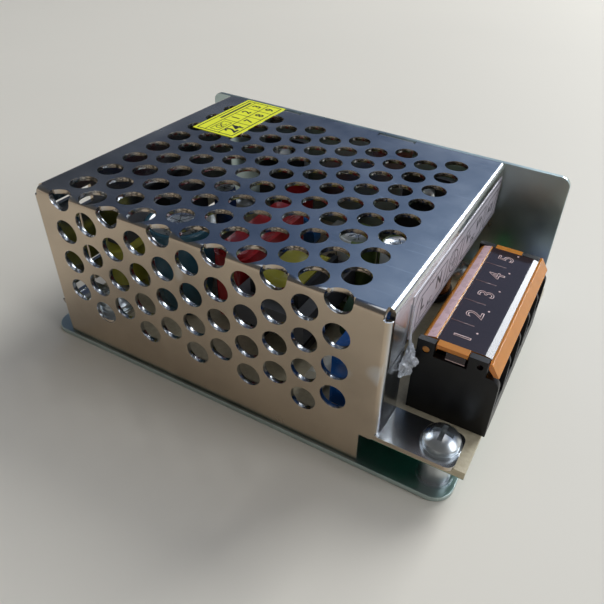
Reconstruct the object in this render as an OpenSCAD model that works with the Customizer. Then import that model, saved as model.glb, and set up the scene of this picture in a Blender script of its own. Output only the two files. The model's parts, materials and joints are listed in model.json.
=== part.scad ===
// Mesh case switching power supply: folded steel case, board and five-way terminal block.
// Millimetres. Origin: centre of the base plate's underside. +X terminal end, +Y back wall, +Z up.

/* [Case] */
// Overall length of the base plate
case_len = 85; // [70:1:105]
// Overall depth, from the base's front edge to the back wall's outer face
case_dep = 58; // [48:1:72]
// Overall height of the case
case_h = 33; // [27:0.5:42]
// Sheet thickness of the base and back wall
base_t = 1.0; // [0.8:0.1:1.5]
// Sheet thickness of the mesh cover
cover_t = 0.8; // [0.6:0.05:1.0]
// Outer radius of the cover's folds
fold_r = 1.0; // [0.9:0.05:2]
// Corner radius at the base plate's front corners
base_corner_r = 3.5; // [2:0.5:6]
// How far the cover's left end stands in from the base's left edge
cover_in_left = 4.3; // [3:0.1:6]
// How far the cover's right end stands in from the base's right edge
cover_in_right = 13.05; // [12:0.05:16]
// How far the cover's front face stands in from the base's front edge
cover_in_front = 0.6; // [0.3:0.1:1.5]
// Height of the cover's lip at the terminal end
lip_h = 11; // [7:0.5:12]

/* [Vent holes] */
// Vent hole diameter
vent_d = 4.6; // [3.5:0.1:5]
// Target pitch along a column
vent_pitch = 6.26; // [5.8:0.02:7.4]
// Spacing between neighbouring columns
vent_col = 5.315; // [5:0.005:6.4]

/* [Board] */
// Board thickness
board_t = 1.6; // [1.2:0.2:2]
// Standoff height under the board
standoff_h = 5; // [4:0.5:6]
// Case screw thread diameter
screw_d = 3; // [2.5:0.1:3.5]
// How far the board stands out past the base's right edge
board_out = 1.2; // [0:0.1:2]

/* [Terminal block] */
// Distance between neighbouring ways
way_pitch = 6.35; // [5.3:0.01:7.62]
// Number of ways
ways = 5; // [2:1:5]
// Height of the block's end walls above the board
block_h = 15; // [14:0.5:18]
// Thickness of the barriers between ways
barrier_t = 0.8; // [0.6:0.1:1.2]
// Terminal screw thread diameter
term_d = 2.9; // [2.4:0.1:3.2]
// Diameter of the lid's hinge pins
hinge_d = 1.2; // [0.9:0.1:1.4]
// Radial clearance of the hinge pins in the end walls
hinge_gap = 0.05; // [0.02:0.01:0.1]
// Wall thickness of the lid
lid_t = 0.8; // [0.6:0.1:1]

/* [Parts on the board] */
// Diameter of the mains storage capacitor
bulk_d = 13; // [10:0.5:13.5]
// Diameter of the output capacitors
outcap_d = 8; // [6.3:0.1:8.2]

/* [Hidden] */
$fn = 48;
e = 0.01;
x0 = -case_len/2;  x1 = case_len/2;
yf0 = -case_dep/2; yb = case_dep/2;
wall_in = yb - base_t;
xl = x0 + cover_in_left;
xr = x1 - cover_in_right;
yf = yf0 + cover_in_front;
cover_back = wall_in - 0.1;
ri = fold_r - cover_t;
z_board = base_t + standoff_h;
z_top = z_board + board_t;
tab_z = z_top;
tab_len = 12.5;
tab_w = 7.5;
screw_in = 9.15;
scr_y = yf + 4.2;
scr_xr = xr + screw_in;
scr_xl = xl + cover_t + screw_in;
scr_yb = wall_in - 3.8;
scr_xlb = xl + 6.2;
scr_xrb = xr - 3.6;
board_l = x0 + 6.2;
board_r = x1 + board_out;
board_f = yf0 + 1.8;
board_b = wall_in - 0.3;
kx = case_len/85;
ky = case_dep/58;
ks = min(1, kx, ky);
kz = min(1, (case_h - cover_t - z_top)/24.6);
// terminal block
end_t = 1.2;
bx0 = x1 - 12;
bx1 = x1 + 1.7;
blk_len = ways*way_pitch + 1.6;
by0 = yf0 + 10.05;
by1 = by0 + blk_len;
byc = (by0 + by1)/2;
tray_z = z_top + 4.8;
tray_t = 0.8;
bar_z = z_top + block_h - 2.8;
upper_z = z_top + block_h - 1.1;
end_z = z_top + block_h;
scr_tx = bx0 + 7.1;
hx = bx0 + 1.7;
hz = z_top + block_h - 1.7;
hr = hinge_d/2;
barrel_r = 1.5;
lid_y0 = by0 + end_t + 0.2;
lid_y1 = by1 - end_t - 0.2;
head_r = screw_d;
way_y = [for (i = [0:ways-1]) by0 + 0.8 + way_pitch*(i + 0.5)];
plate_w = way_pitch - barrier_t - 0.4;
// row and column counts of the vent grid
v_first_y = wall_in - 6.9;
v_n = round((v_first_y - yf)/vent_pitch);
v_py = (v_first_y - yf + 0.58)/v_n;
v_x0 = xl + 6.45;
v_cols = floor((xr - xl - 12)/vent_col) + 1;
vr = vent_d/2;

// ---------- helpers ----------
// A quarter ring in +X +Y, standing along Z
module quarter(ro, r_in, len) {
  rotate_extrude(angle = 90) translate([r_in, 0]) square([ro - r_in, len]);
}
module quarter_solid(r, len) {
  rotate_extrude(angle = 90) square([r, len]);
}
// Fold about an axis along X; sy and sz pick the quadrant
module fold_x(xa, xb, y, z, sy, sz) {
  translate([xa, y, z]) rotate([90, 0, 90])
    mirror([sy < 0 ? 1 : 0, 0, 0]) mirror([0, sz < 0 ? 1 : 0, 0]) quarter(fold_r, ri, xb - xa);
}
// Fold about an axis along Y; sx and sz pick the quadrant
module fold_y(ya, yb2, x, z, sx, sz) {
  translate([x, yb2, z]) rotate([90, 0, 0])
    mirror([sx < 0 ? 1 : 0, 0, 0]) mirror([0, sz < 0 ? 1 : 0, 0]) quarter(fold_r, ri, yb2 - ya);
}
// Fold about an axis along Z
module fold_z(za, zb, x, y, sx, sy) {
  translate([x, y, za])
    mirror([sx < 0 ? 1 : 0, 0, 0]) mirror([0, sy < 0 ? 1 : 0, 0]) quarter(fold_r, ri, zb - za);
}
module box(a, b) { translate(a) cube([b[0]-a[0], b[1]-a[1], b[2]-a[2]]); }
// A plate with its four vertical corners rounded
module rplate(a, b, r) {
  h = b[2]-a[2];
  box([a[0]+r, a[1], a[2]], [b[0]-r, b[1], b[2]]);
  box([a[0], a[1]+r, a[2]], [b[0], b[1]-r, b[2]]);
  for (x = [a[0]+r, b[0]-r], y = [a[1]+r, b[1]-r]) translate([x, y, a[2]]) cylinder(r = r, h = h);
}
module rod(x, y, z0, z1, r) { translate([x, y, z0]) cylinder(r = r, h = z1 - z0); }
module lead(x, y, z1) { rod(x, y, z_top, z1, 0.35); }
// Cross recess, point down from z
module cross(x, y, z, w, t, d) {
  translate([x, y, z - d]) {
    translate([-w/2, -t/2, 0]) cube([w, t, d + 1]);
    translate([-t/2, -w/2, 0]) cube([t, w, d + 1]);
  }
}
// Pan head screw: the head sits on z, the shank runs down len
module pan_screw(x, y, z, r, hr2, hh, len) {
  cap = hh*0.65;
  big = (hr2*hr2 + cap*cap)/(2*cap);
  difference() {
    union() {
      intersection() {
        rod(x, y, z, z + hh + 1, hr2);
        translate([x, y, z + hh - big]) sphere(r = big);
      }
      rod(x, y, z - len, z + 0.2, r);
    }
    cross(x, y, z + hh, hr2*1.15, hr2*0.26, hh*0.6);
  }
}
// Standing electrolytic capacitor with a crimped neck and a recessed top
module ecap(x, y, d, h, pitch) {
  r = d/2;
  z = z_top + 0.3;
  for (s = [-1, 1]) lead(x + s*pitch/2, y, z + 1);
  translate([x, y, z]) difference() {
    cylinder(r = r, h = h);
    translate([0, 0, 1.2]) difference() {
      cylinder(r = r + 1, h = 0.8);
      translate([0, 0, -1]) cylinder(r = r*0.94, h = 3);
    }
    translate([0, 0, h - 0.25]) cylinder(r = r*0.86, h = 1);
  }
}

// ---------- case ----------
module base_chassis() {
  color([0.72, 0.74, 0.75]) difference() {
    union() {
      box([x0 + base_corner_r, yf0, 0], [x1 - base_corner_r, yb - 1.5, base_t]);
      box([x0, yf0 + base_corner_r, 0], [x1, yb - 1.5, base_t]);
      for (x = [x0 + base_corner_r, x1 - base_corner_r])
        rod(x, yf0 + base_corner_r, 0, base_t, base_corner_r);
      translate([x0, yb - 1.5, 1.5]) rotate([90, 0, 90]) mirror([0, 1, 0])
        quarter(1.5, 1.5 - base_t, case_len);
      box([x0, yb - base_t, 1.5], [x1, yb, case_h - 2]);
      box([x0 + 2, yb - base_t, case_h - 3], [x1 - 2, yb, case_h]);
      for (x = [x0 + 2, x1 - 2])
        translate([x, yb, case_h - 2]) rotate([90, 0, 0]) cylinder(r = 2, h = base_t);
    }
    for (s = [-1, 1]) rod(s*30*kx, 0, -1, base_t + 1, 1.5);
    for (x = [-22*kx, 14*kx]) translate([x, yb + 1, z_top + 15.3*kz]) rotate([90, 0, 0])
      cylinder(r = screw_d/2 + 0.05, h = base_t + 2);
  }
}
module standoffs() {
  color([0.75, 0.76, 0.77])
    for (p = [[scr_xr, scr_y], [scr_xl, scr_y], [scr_xrb, scr_yb], [scr_xlb, scr_yb]])
      difference() {
        union() {
          rod(p[0], p[1], base_t, z_board, 2.7);
          rod(p[0], p[1], base_t, base_t + 0.5, 3.1);
        }
        rod(p[0], p[1], base_t + 0.8, z_board + 1, screw_d/2 + 0.05);
      }
}
module vent_holes() {
  for (c = [0:v_cols-1]) {
    x = v_x0 + c*vent_col;
    s = c % 2;
    for (k = [0:v_n-1]) {
      y = v_first_y - v_py*(k + s*0.5);
      rod(x, y, case_h - fold_r - e, case_h + 1, vr);
    }
    // holes on the front face
    zf = s == 0 ? case_h - 7.2 : case_h - 4.1;
    for (j = [0:floor((zf - z_top - 1.9)/v_py)])
      translate([x, yf + fold_r + e, zf - v_py*j]) rotate([90, 0, 0]) cylinder(r = vr, h = fold_r + 1);
    // the hole that the fold runs through
    if (s == 0) {
      rod(x, yf - 0.3, case_h - fold_r - e, case_h + 1, vr);
      translate([x, yf + fold_r + e, case_h - 0.7]) rotate([90, 0, 0]) cylinder(r = vr, h = fold_r + 1);
    }
  }
}
module foot(xa) {
  // a flange's foot: fold, then a flat tab running towards +X with rounded outer corners
  zc = tab_z + cover_t + ri;
  xc = xa + cover_t + ri;
  xe = xa + tab_len + cover_t;
  yi = yf + 0.1;
  fold_y(yi, yi + tab_w, xc, zc, -1, -1);
  difference() {
    union() {
      box([xc - e, yi, tab_z], [xe - 1.5, yi + tab_w, tab_z + cover_t]);
      box([xe - 2, yi + 1.5, tab_z], [xe, yi + tab_w - 1.5, tab_z + cover_t]);
      for (y = [yi + 1.5, yi + tab_w - 1.5]) rod(xe - 1.5, y, tab_z, tab_z + cover_t, 1.5);
    }
    rod(xa + cover_t + screw_in, scr_y, 0, 20, screw_d/2 + 0.15);
  }
}
module end_flap(ztop) {
  // closes the end away from the terminals, apart from narrow gaps beside the front flange and the back wall
  y0 = yf + 11.5;
  y1 = cover_back - 1.5;
  zf = z_top + 1.3;
  zs = z_top + 5.5;
  yi = yf + 0.5 + tab_w;
  difference() {
    union() {
      box([xl, y0, zf], [xl + cover_t, y1, ztop + e]);
      box([xl, yi, zf], [xl + cover_t, y0 + e, zs]);
      box([xl, yi, zs + 0.8], [xl + cover_t, y0 + e, ztop - 3.4]);
    }
    box([xl - 1, y1 - 4.2, 0], [xl + 2, y1 + 1, zs]);
  }
}
module mesh_cover() {
  zb = base_t + 0.2;
  zfl = case_h - lip_h;
  zc = tab_z + cover_t + ri;
  llz = case_h - 4.3;
  color([0.78, 0.80, 0.82]) difference() {
    union() {
      // top and front sheets
      box([xl + fold_r, yf + fold_r, case_h - cover_t], [xr - fold_r, cover_back - fold_r, case_h]);
      box([xl + fold_r, yf, zb], [xr - fold_r, yf + cover_t, case_h - fold_r]);
      fold_x(xl + fold_r, xr - fold_r, yf + fold_r, case_h - fold_r, -1, 1);
      // back edge of the top, with two hooks that tuck in behind the back wall
      box([xl + fold_r, cover_back - fold_r - e, case_h - cover_t], [xr - fold_r, cover_back, case_h]);
      // lip at the terminal end
      fold_y(yf + fold_r + 0.4, cover_back, xr - fold_r, case_h - fold_r, 1, 1);
      box([xr - cover_t, yf + fold_r + 0.4, zfl], [xr, cover_back, case_h - fold_r + e]);
      // short lip at the other end
      fold_y(yf + fold_r + 0.4, cover_back, xl + fold_r, case_h - fold_r, -1, 1);
      box([xl, yf + fold_r + 0.4, llz], [xl + cover_t, cover_back, case_h - fold_r + e]);
      // front face's end folds, full height, then the flanges below the lips
      fold_z(tab_z, case_h - fold_r - 0.6, xr - fold_r, yf + fold_r, 1, -1);
      fold_z(zb, case_h - fold_r - 0.6, xl + fold_r, yf + fold_r, -1, -1);
      box([xr - cover_t, yf + fold_r - e, zc], [xr, yf + 0.1 + tab_w, zfl - 0.5]);
      box([xl, yf + fold_r - e, zc], [xl + cover_t, yf + 0.1 + tab_w, llz - 0.8]);
      end_flap(llz);
    }
    vent_holes();
    // window at the foot of the flange away from the terminals
    box([xl - 1, yf + 3.1, zc], [xl + 1, yf + 6.9, zc + 2.1]);
    // notch in the front face under the terminal end's foot
    box([xr - 3.05, yf - 1, 0], [xr + 1, yf + fold_r + 0.05, tab_z - 0.2]);
    // relief holes where three folds meet
    for (x = [xl + 0.3, xr - 0.3])
      translate([x, yf + fold_r + 0.5, case_h - 0.3]) rotate([90, 0, 0]) cylinder(r = 0.95, h = 3);
    for (x = [xl + 0.3, xr - 0.3]) rod(x, yf + 0.3, case_h - fold_r - 0.4, case_h + 1, 0.95);
    // slots beside the hooks
    for (x = [-22*kx, 6*kx])
      box([x - 4.3, cover_back - fold_r - 0.4, case_h - 3], [x + 4.3, cover_back + 1, case_h + 1]);
  }
  color([0.78, 0.80, 0.82]) {
    foot(xr - cover_t);
    foot(xl);
    for (x = [-22*kx, 6*kx]) {
      fold_x(x - 4, x + 4, cover_back - fold_r, case_h - fold_r, 1, 1);
      box([x - 4, cover_back - fold_r - 0.6, case_h - cover_t], [x + 4, cover_back - fold_r + e, case_h]);
      box([x - 4, cover_back - cover_t, case_h - 4.2], [x + 4, cover_back, case_h - fold_r + e]);
    }
  }
}
module cover_screws() {
  color([0.80, 0.81, 0.83]) for (x = [scr_xr, scr_xl])
    pan_screw(x, scr_y, tab_z + cover_t + 0.5, screw_d/2, head_r, 2.3, 6);
}
module cover_washers() {
  color([0.74, 0.75, 0.77]) for (x = [scr_xr, scr_xl]) difference() {
    rod(x, scr_y, tab_z + cover_t, tab_z + cover_t + 0.5, head_r + 0.3);
    rod(x, scr_y, 0, 20, screw_d/2 + 0.1);
  }
}
module board_screws() {
  color([0.80, 0.81, 0.83]) for (x = [scr_xrb, scr_xlb])
    pan_screw(x, scr_yb, z_top, screw_d/2, head_r*0.9, 2.1, 5);
}
module circuit_board() {
  color([0.83, 0.74, 0.52]) difference() {
    box([board_l, board_f, z_board], [board_r, board_b, z_top]);
    for (p = [[scr_xr, scr_y], [scr_xl, scr_y], [scr_xrb, scr_yb], [scr_xlb, scr_yb]])
      rod(p[0], p[1], 0, 20, screw_d/2 + 0.1);
  }
}
module solder_joints() {
  color([0.80, 0.81, 0.82])
    for (p = concat(
      [for (y = way_y, dx = [4.5, 9.5]) [bx0 + dx, y]],
      [for (q = [[-21.8, -14.3], [-15.8, -14.3], [-30.6, -16.5], [-30.6, -10], [-33.4, -16.5],
        [-33.4, -10], [-6.4, -14], [-6.4, 2], [22.2, -22], [22.2, -15], [15.8, -23.5],
        [15.8, -14.5], [1, -20], [5, -20], [9, -20], [1, -5], [5, -5], [9, -5], [8.3, 1.8],
        [11.7, 1.8], [17, 2.2], [20.4, 2.2], [-24.5, 24], [-22, 24], [-19.5, 24], [11.5, 24],
        [14, 24], [16.5, 24], [-33.6, -3], [-33.6, 1], [-33.6, 5], [22.5, 10], [22.5, 15.5],
        [-13, 12], [-3, 12], [-13, 16], [-3, 16]]) [q[0]*kx, q[1]*ky]]))
      translate([p[0], p[1], z_board - 0.7]) cylinder(r1 = 0.45, r2 = 1.0, h = 0.7, $fn = 24);
}

// ---------- terminal block ----------
module block_side(len, inner) {
  // side profile of an end wall or barrier, in X and Z, run along Y
  rotate([90, 0, 0]) translate([0, 0, -len]) difference() {
    union() {
      translate([bx0, z_top]) cube([bx1 - bx0, bar_z - 1.6 - z_top, len]);
      translate([bx0, z_top]) cube([bx1 - bx0 - 1.6, bar_z - z_top, len]);
      translate([bx1 - 1.6, bar_z - 1.6, 0]) cylinder(r = 1.6, h = len);
      if (inner) translate([bx0 + 3.9, z_top, 0]) cube([7.4, upper_z - z_top, len]);
      if (!inner) {
        translate([bx0 + 0.2, z_top, 0]) cube([2.8, end_z - z_top, len]);
        translate([bx0 + 8.4, z_top, 0]) cube([3.0, end_z - z_top, len]);
        translate([bx0 + 0.2, z_top, 0]) cube([10, end_z - 2.6 - z_top, len]);
      }
    }
    if (inner) translate([hx, hz, -1]) cylinder(r = barrel_r + 0.3, h = len + 2);
    else {
      translate([hx, hz, -1]) cylinder(r = hr + hinge_gap, h = len + 2);
      translate([bx0 + 10.3, end_z - 1.3, -1]) cylinder(r = 0.5, h = len + 2);
    }
  }
}
module terminal_body() {
  color([0.06, 0.06, 0.07]) {
    difference() {
      union() {
        box([bx0, by0 + 0.1, z_top], [bx1, by1 - 0.1, tray_z]);
        box([bx0, by0 + 0.1, z_top], [bx0 + 1, by1 - 0.1, hz - barrel_r - 0.4]);
      }
      for (y = way_y) rod(scr_tx, y, z_top + 0.8, tray_z + 1, 2.35);
    }
    for (y = [by0, by1 - end_t]) translate([0, y, 0]) block_side(end_t, false);
    for (i = [1:ways-1]) translate([0, by0 + 0.8 + i*way_pitch - barrier_t/2, 0])
      block_side(barrier_t, true);
  }
}
module terminal_contacts() {
  color([0.78, 0.78, 0.76]) for (y = way_y) difference() {
    union() {
      box([bx0 + 1.8, y - plate_w/2, tray_z], [bx1 - 1.2, y + plate_w/2, tray_z + tray_t]);
      rod(scr_tx, y, tray_z - 2, tray_z + e, 2.1);
    }
    rod(scr_tx, y, 0, 20, term_d/2 + 0.05);
  }
}
module clamp_plate(i) {
  y = way_y[i];
  z = tray_z + tray_t;
  w = plate_w;
  color([0.80, 0.80, 0.78]) difference() {
    union() {
      box([scr_tx - 2.7, y - w/2, z], [scr_tx + 2.7, y + w/2, z + 0.8]);
      for (s = [-1, 1])
        box([scr_tx - 2.7, y + s*(w/2 - 0.3) - 0.3, z], [scr_tx + 2.7, y + s*(w/2 - 0.3) + 0.3, z + 1.1]);
    }
    rod(scr_tx, y, 0, 30, term_d/2 + 0.08);
  }
}
module clamp_plate_1() { clamp_plate(0); }
module clamp_plate_2() { clamp_plate(1); }
module clamp_plate_3() { clamp_plate(2); }
module clamp_plate_4() { clamp_plate(3); }
module clamp_plate_5() { clamp_plate(4); }
module term_screw(i) {
  color([0.82, 0.82, 0.80])
    pan_screw(scr_tx, way_y[i], tray_z + tray_t + 0.8, term_d/2, min(2.3, plate_w/2 - 0.7), 1.8, 3.8);
}
module terminal_screw_1() { term_screw(0); }
module terminal_screw_2() { term_screw(1); }
module terminal_screw_3() { term_screw(2); }
module terminal_screw_4() { term_screw(3); }
module terminal_screw_5() { term_screw(4); }
module terminal_lid() {
  zt = end_z + 0.2;
  zu = zt - lid_t;
  len = lid_y1 - lid_y0;
  color([0.90, 0.45, 0.12, 0.5]) {
    // plate between the end walls, with the hinge barrel
    translate([0, lid_y1, 0]) rotate([90, 0, 0]) linear_extrude(len)
      polygon([[hx, hz + barrel_r], [hx + 1.1, zt], [bx0 + 11.9, zt], [bx0 + 11.9, zu],
        [hx + 1.3, zu], [hx, hz + 0.4]]);
    translate([hx, lid_y1, hz]) rotate([90, 0, 0]) cylinder(r = barrel_r, h = len);
    // sloping outer skirt, as long as the block
    translate([0, by1, 0]) rotate([90, 0, 0]) linear_extrude(blk_len)
      polygon([[bx0 + 11.75, zt], [bx0 + 11.95, zt], [bx0 + 13.4, zt - 2.4], [bx0 + 12.5, zt - 2.4],
        [bx0 + 11.75, zu]]);
    // hinge pins
    translate([hx, by1 - 0.1, hz]) rotate([90, 0, 0]) cylinder(r = hr, h = blk_len - 0.2);
    // end tongues and latch tabs in the end walls' gaps
    for (s = [0, 1]) {
      ya = s == 0 ? by0 : lid_y1 - e;
      yc = s == 0 ? by0 : by1 - 0.5;
      box([bx0 + 4.1, ya, zu], [bx0 + 8.1, ya + end_t + 0.2 + e, zt]);
      box([bx0 + 4.9, yc, zt - 2.4], [bx0 + 8.0, yc + 0.5, zu + e]);
    }
  }
}
module hot_glue() {
  // a bead of clear glue between the flange, the lip and the block's near end
  color([0.85, 0.87, 0.92, 0.45]) difference() {
    intersection() {
      union() {
        translate([xr + 0.6, by0 - 4.6, z_top + 9.4]) sphere(r = 2.6);
        translate([xr + 0.9, by0 - 2.6, z_top + 11.4]) sphere(r = 2.0);
        translate([xr + 0.4, by0 - 6.2, z_top + 8.2]) sphere(r = 1.9);
        translate([xr + 0.8, by0 - 3.4, z_top + 7.4]) sphere(r = 1.5);
        translate([xr + 0.5, by0 - 1.6, z_top + 12.2]) cylinder(r = 0.45, h = 3.4);
      }
      box([xr + e, by0 - 12, z_top + 2], [xr + 4, by0 - 0.02, case_h]);
    }
    // clear of the film label on the lip
    box([xr - 1, yf + 8.3, case_h - lip_h + 0.4], [xr + 0.12, by0 + 1, case_h]);
  }
}
module top_label() {
  color([0.93, 0.86, 0.10]) box([xl + 5.8, wall_in - 20.5, case_h], [xl + 16, wall_in - 0.2, case_h + 0.1]);
}
module terminal_label() {
  color([0.86, 0.87, 0.90])
    box([xr, yf + 8.4, case_h - lip_h + 0.5], [xr + 0.1, cover_back - 1, case_h - 2.4]);
}

// ---------- parts on the board ----------
module bulk_capacitor() {
  color([0.10, 0.30, 0.34]) ecap(-18.8*kx, -14.3*ky, bulk_d*ks, 17.6*kz, 5*ks);
}
module output_capacitors() {
  color([0.16, 0.34, 0.28]) {
    ecap(10*kx, 1.9*ky, outcap_d*ks, 16*kz, 3.5*ks);
    ecap(18.7*kx, 2.3*ky, outcap_d*ks, 16*kz, 3.5*ks);
  }
}
module aux_capacitor() {
  color([0.12, 0.14, 0.30]) ecap(-28*kx, 11*ky, 5*ks, 11*kz, 2*ks);
}
// Transformer centre
tx = 5.05*kx; ty = -12.5*ky;
tl = 14.5*ks; tw = 19*ks;
tz0 = z_top + 7.4*kz; tz1 = z_top + 12.4*kz;
module transformer_core() {
  color([0.22, 0.22, 0.24]) difference() {
    box([tx - tl/2, ty - tw/2, tz0], [tx + tl/2, ty + tw/2, tz1]);
    for (s = [-1, 1]) {
      ya = s < 0 ? ty - tw/2 + 2.4*ks : ty + 2.4*ks;
      box([tx - tl/2 + 2.4*ks, ya, tz0 - 1], [tx + tl/2 - 2.4*ks, ya + tw/2 - 4.8*ks, tz1 + 1]);
    }
  }
}
module transformer_bobbin() {
  bl = tl/2 - 2.45*ks;
  bw = tw/2 - 2.45*ks;
  color([0.10, 0.10, 0.11]) {
    difference() {
      union() {
        for (s = [-1, 1]) {
          xa = tx + s*(bl - 0.5*ks);
          box([xa - 0.45*ks, ty - bw, tz0 - 3.6*kz], [xa + 0.45*ks, ty + bw, tz1 + 2.6*kz]);
        }
        box([tx - bl, ty - 2.8*ks, tz0 - 0.6], [tx + bl, ty + 2.8*ks, tz1 + 0.6]);
      }
      box([tx - bl - 1, ty - 2.42*ks, tz0 - 0.05], [tx + bl + 1, ty + 2.42*ks, tz1 + 0.05]);
    }
    for (s = [-1, 1]) {
      xa = tx + s*(bl - 0.5*ks);
      box([xa - 1.4*ks, ty - bw, tz0 - 5.4*kz], [xa + 1.4*ks, ty + bw, tz0 - 3.5*kz]);
      for (q = [-1, 0, 1]) rod(xa, ty + q*bw*0.75, z_top, tz0 - 4*kz, 0.4);
    }
  }
}
module transformer_winding() {
  bl = tl/2 - 3.5*ks;
  bw = tw/2 - 2.7*ks;
  color([0.90, 0.78, 0.12]) difference() {
    translate([tx - bl, ty, (tz0 + tz1)/2]) rotate([0, 90, 0])
      intersection() {
        union() {
          translate([-5.4*kz, -bw + 2, 0]) cube([10.8*kz, 2*bw - 4, 2*bl]);
          translate([-5.4*kz + 2, -bw, 0]) cube([10.8*kz - 4, 2*bw, 2*bl]);
          for (a = [-1, 1], b = [-1, 1]) translate([a*(5.4*kz - 2), b*(bw - 2), 0]) cylinder(r = 2, h = 2*bl);
        }
      }
    box([tx - bl - 1, ty - 2.85*ks, tz0 - 0.65], [tx + bl + 1, ty + 2.85*ks, tz1 + 0.65]);
  }
}
// Mains filter choke: a standing square core with two taped windings
cx = -30.8*kx; cy = -13.2*ky;
module choke_core() {
  color([0.20, 0.20, 0.22]) difference() {
    box([cx - 2*ks, cy - 6.2*ks, z_top + 1.6], [cx + 2*ks, cy + 6.2*ks, z_top + 14*kz]);
    box([cx - 3*ks, cy - 3.2*ks, z_top + 3.6*kz], [cx + 3*ks, cy + 3.2*ks, z_top + 11.4*kz]);
  }
}
module choke_winding() {
  color([0.85, 0.74, 0.16]) for (s = [-1, 1]) {
    difference() {
      rod(cx, cy + s*4.7*ks, z_top + 3.7*kz, z_top + 11.3*kz, 4.3*ks);
      box([cx - 2.05*ks, cy + s*4.7*ks - 1.56*ks, 0], [cx + 2.05*ks, cy + s*4.7*ks + 1.56*ks, 40]);
      box([cx - 9, cy - 0.15, 0], [cx + 9, cy + 0.15, 40]);
      box([cx - 9, min(cy, cy - s*9), 0], [cx + 9, max(cy, cy - s*9), 40]);
    }
    for (q = [-1, 1]) rod(cx + q*3.1*ks, cy + s*3.2*ks, z_top, z_top + 4*kz, 0.4);
  }
}
// Dipped film capacitor: a rounded block
module dipped(x, y, l, w, h, r) {
  z = z_top + 1;
  rplate([x - w/2, y - l/2, z + 0.8], [x + w/2, y + l/2, z + h - 0.8], r);
  rplate([x - w/2 + 0.8, y - l/2 + 0.8, z], [x + w/2 - 0.8, y + l/2 - 0.8, z + h], r - 0.8);
  for (s = [-1, 1]) lead(x, y + s*(l/2 - 2), z + 1);
}
module film_capacitor() {
  color([0.62, 0.07, 0.06]) dipped(-6.5*kx, -6*ky, 22*ks, 7.4*ks, 15.3*kz, 2*ks);
}
module snubber_capacitor() {
  color([0.66, 0.10, 0.07]) dipped(-13.5*kx, 19*ky, 9*ks, 4.6*ks, 11*kz, 1.6*ks);
}
module mains_capacitor() {
  color([0.08, 0.28, 0.70]) {
    box([22.2*kx - 3*ks, -18.5*ky - 6.5*ks, z_top + 0.4],
        [22.2*kx + 3*ks, -18.5*ky + 6.5*ks, z_top + 12.4*kz]);
    for (s = [-1, 1]) rod(22.2*kx, -18.5*ky + s*4.5*ks, z_top, z_top + 1, 0.4);
  }
}
module fuse() {
  color([0.75, 0.73, 0.66]) {
    translate([15.8*kx, -19*ky + 5*ks, z_top + 2.6]) rotate([90, 0, 0]) cylinder(r = 1.9*ks, h = 10*ks);
    for (s = [-1, 1]) rod(15.8*kx, -19*ky + s*4.2*ks, z_top, z_top + 2, 0.35);
  }
}
module thermistor() {
  color([0.10, 0.20, 0.12]) {
    translate([15.8*kx - 1.6*ks, -8*ky, z_top + 5.6]) rotate([0, 90, 0]) cylinder(r = 4.4*ks, h = 3.2*ks);
    for (s = [-1, 1]) lead(15.8*kx, -8*ky + s*2.2*ks, z_top + 3.5);
  }
}
module bridge_rectifier() {
  color([0.07, 0.07, 0.08]) {
    box([-33.6*kx - 1.8*ks, 3.4*ky - 6*ks, z_top + 2], [-33.6*kx + 1.8*ks, 3.4*ky + 6*ks, z_top + 13*kz]);
    for (s = [-1.5, -0.5, 0.5, 1.5]) rod(-33.6*kx, 3.4*ky + s*2.8*ks, z_top, z_top + 3, 0.4);
  }
}
// A three-leg power package flat against the back wall
module power_package(x, shade) {
  y = wall_in - 0.2;
  za = z_top + 4*kz;
  zs = z_top + 15.3*kz;
  color([shade, shade, shade + 0.01]) {
    difference() {
      union() {
        box([x - 5*ks, y - 4.4, za], [x + 5*ks, y, min(za + 8.6*kz, zs - screw_d*0.85 - 0.15)]);
        box([x - 5*ks, y - 1.4, za], [x + 5*ks, y, za + 14.6*kz]);
      }
      translate([x, y + 1, zs]) rotate([90, 0, 0]) cylinder(r = screw_d/2 + 0.1, h = 8);
    }
    for (s = [-1, 0, 1]) box([x + s*2.54*ks - 0.4, y - 2.9, z_top], [x + s*2.54*ks + 0.4, y - 2.3, za + 1]);
  }
}
module switch_transistor() { power_package(-22*kx, 0.08); }
module output_rectifier() { power_package(14*kx, 0.10); }
module insulating_pads() {
  color([0.70, 0.72, 0.78]) for (x = [-22*kx, 14*kx]) difference() {
    box([x - 6*ks, wall_in - 0.2, z_top + 3*kz], [x + 6*ks, wall_in, z_top + 19*kz]);
    translate([x, wall_in + 1, z_top + 15.3*kz]) rotate([90, 0, 0]) cylinder(r = screw_d/2 + 0.1, h = 8);
  }
}
module transistor_screws() {
  color([0.80, 0.81, 0.83]) for (x = [-22*kx, 14*kx])
    translate([x, wall_in - 1.6, z_top + 15.3*kz]) rotate([90, 0, 0])
      pan_screw(0, 0, 0, screw_d/2, screw_d*0.85, 2.0, 1.6 + base_t);
}
module dip(x, y, l, w, h, pins) {
  box([x - l/2, y - w/2, z_top + 0.5], [x + l/2, y + w/2, z_top + 0.5 + h]);
  for (i = [0:pins-1], s = [-1, 1]) {
    px = x + (i - (pins-1)/2)*2.54*ks;
    box([px - 0.3, y + s*(w/2 + 0.4) - 0.15, z_top], [px + 0.3, y + s*(w/2 + 0.4) + 0.15, z_top + 2.2]);
    box([px - 0.3, min(y + s*(w/2 - 0.3), y + s*(w/2 + 0.5)), z_top + 1.9],
        [px + 0.3, max(y + s*(w/2 - 0.3), y + s*(w/2 + 0.5)), z_top + 2.2]);
  }
}
module controller_chip() { color([0.06, 0.06, 0.07]) dip(-20.5*kx, 5*ky, 9.4*ks, 6.3*ks, 3.2, 4); }
module optocoupler() { color([0.88, 0.88, 0.85]) dip(-3*kx, 20.5*ky, 4.6*ks, 6.3*ks, 3.2, 2); }
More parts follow.
